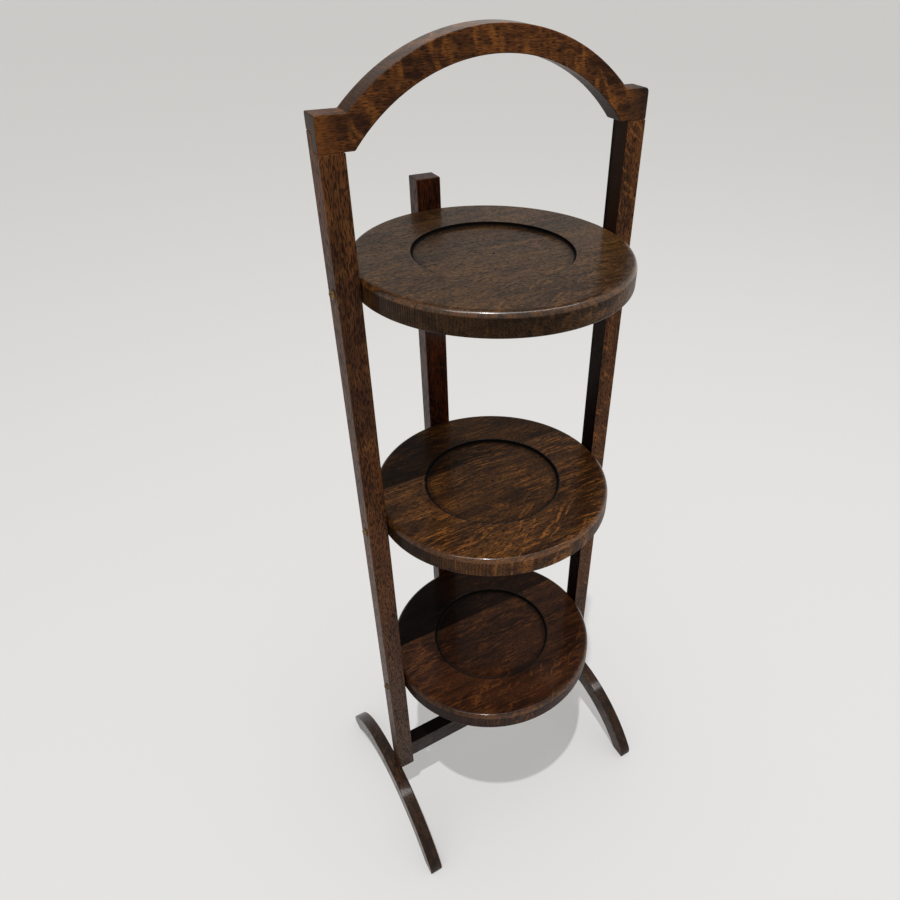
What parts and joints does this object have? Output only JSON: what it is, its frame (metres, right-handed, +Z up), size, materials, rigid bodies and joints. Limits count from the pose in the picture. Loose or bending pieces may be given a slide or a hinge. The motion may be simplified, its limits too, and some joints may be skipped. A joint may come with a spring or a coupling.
{
  "type": "folding cake stand",
  "caption": "Folding tiered cake stand with round wooden plates between two uprights, an arched carrying handle, bracket feet and a hinged rear bar that folds the plates flat.",
  "frame": {"origin": "on the floor, under the middle of the stand's overall box with the plates level", "axes": "+Z up along the uprights; X across the frame from upright to upright; +Y towards the rear bar, -Y towards the user"},
  "size_m": [0.323, 0.2728, 0.9185],
  "materials": {
    "dark_oak": "dark stained oak with a satin polish, orange-brown ray flecks, worn lighter at the edges",
    "brass": "aged, dull satin"
  },
  "bodies": {
    "frame": {"left_upright": "dark_oak", "right_upright": "dark_oak", "handle": "dark_oak", "stretcher": "dark_oak", "left_foot": "dark_oak", "right_foot": "dark_oak", "left_handle_screw": "brass", "right_handle_screw": "brass", "left_foot_front_screw": "brass", "left_foot_back_screw": "brass", "right_foot_front_screw": "brass", "right_foot_back_screw": "brass"},
    "bottom_tier": {"bottom_plate": "dark_oak", "bottom_left_pivot_screw": "brass", "bottom_right_pivot_screw": "brass", "bottom_left_washer": "brass", "bottom_right_washer": "brass", "bottom_hinge_plate_leaf": "brass", "bottom_hinge_pin": "brass", "bottom_plate_leaf_left_screw": "brass", "bottom_plate_leaf_right_screw": "brass"},
    "middle_tier": {"middle_plate": "dark_oak", "middle_left_pivot_screw": "brass", "middle_right_pivot_screw": "brass", "middle_left_washer": "brass", "middle_right_washer": "brass", "middle_hinge_plate_leaf": "brass", "middle_hinge_pin": "brass", "middle_plate_leaf_left_screw": "brass", "middle_plate_leaf_right_screw": "brass"},
    "top_tier": {"top_plate": "dark_oak", "top_left_pivot_screw": "brass", "top_right_pivot_screw": "brass", "top_left_washer": "brass", "top_right_washer": "brass", "top_hinge_plate_leaf": "brass", "top_hinge_pin": "brass", "top_plate_leaf_left_screw": "brass", "top_plate_leaf_right_screw": "brass"},
    "link_bar": {"rear_bar": "dark_oak", "bottom_hinge_bar_leaf": "brass", "bottom_bar_leaf_left_screw": "brass", "bottom_bar_leaf_right_screw": "brass", "middle_hinge_bar_leaf": "brass", "middle_bar_leaf_left_screw": "brass", "middle_bar_leaf_right_screw": "brass", "top_hinge_bar_leaf": "brass", "top_bar_leaf_left_screw": "brass", "top_bar_leaf_right_screw": "brass"}
  },
  "joints": [
    {"name": "bottom_tier_fold", "type": "hinge", "parent": "frame", "child": "bottom_tier", "pos_m": [0, -0.0074, 0.229], "axis": [1, 0, 0], "range_deg": [0, 90]},
    {"name": "middle_tier_fold", "type": "hinge", "parent": "frame", "child": "middle_tier", "pos_m": [0, -0.0074, 0.483], "axis": [1, 0, 0], "range_deg": [0, 90]},
    {"name": "top_tier_fold", "type": "hinge", "parent": "frame", "child": "top_tier", "pos_m": [0, -0.0074, 0.737], "axis": [1, 0, 0], "range_deg": [0, 90]},
    {"name": "link_bar_hinge", "type": "hinge", "parent": "middle_tier", "child": "link_bar", "pos_m": [0, 0.1156, 0.4697], "axis": [1, 0, 0], "range_deg": [-90, 0]}
  ],
  "couplings": [
    {"joint": "top_tier_fold", "follows": "middle_tier_fold", "ratio": 1},
    {"joint": "bottom_tier_fold", "follows": "middle_tier_fold", "ratio": 1},
    {"joint": "link_bar_hinge", "follows": "middle_tier_fold", "ratio": -1}
  ]
}
